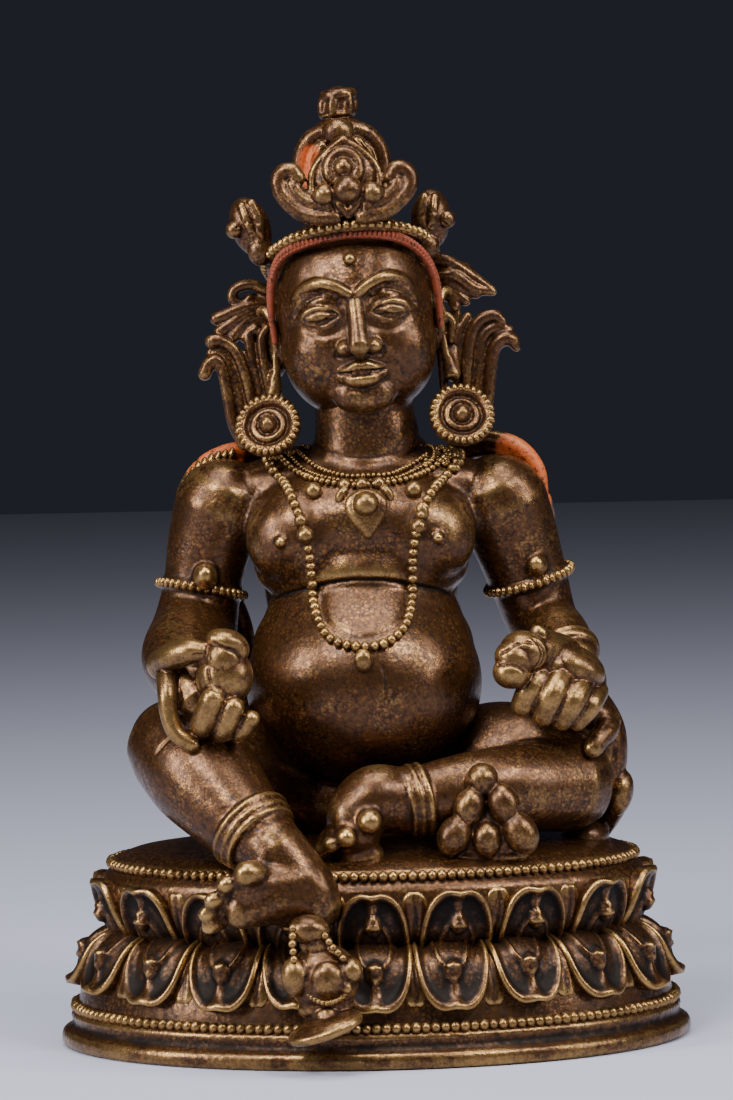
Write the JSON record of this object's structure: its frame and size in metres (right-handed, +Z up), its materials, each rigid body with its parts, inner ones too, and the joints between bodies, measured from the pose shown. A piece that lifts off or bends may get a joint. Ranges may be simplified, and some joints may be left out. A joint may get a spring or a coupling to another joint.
{
  "type": "seated deity statue",
  "caption": "Cast bronze god of wealth, seated at ease on an oval double-lotus throne, with a crown, jewellery, a citron and a mongoose.",
  "frame": {"origin": "middle of the throne's flat underside, on the plane it stands on", "axes": "+Z up from the throne to the crown's finial, the figure faces -Y, +X to its left hand (the viewer's right)"},
  "size_m": [0.1658, 0.1314, 0.2497],
  "materials": {
    "bronze": "dark brown patinated cast bronze, worn to gold on the high points, with traces of red and orange pigment"
  },
  "bodies": {
    "root": {"statue": "bronze"}
  },
  "joints": []
}
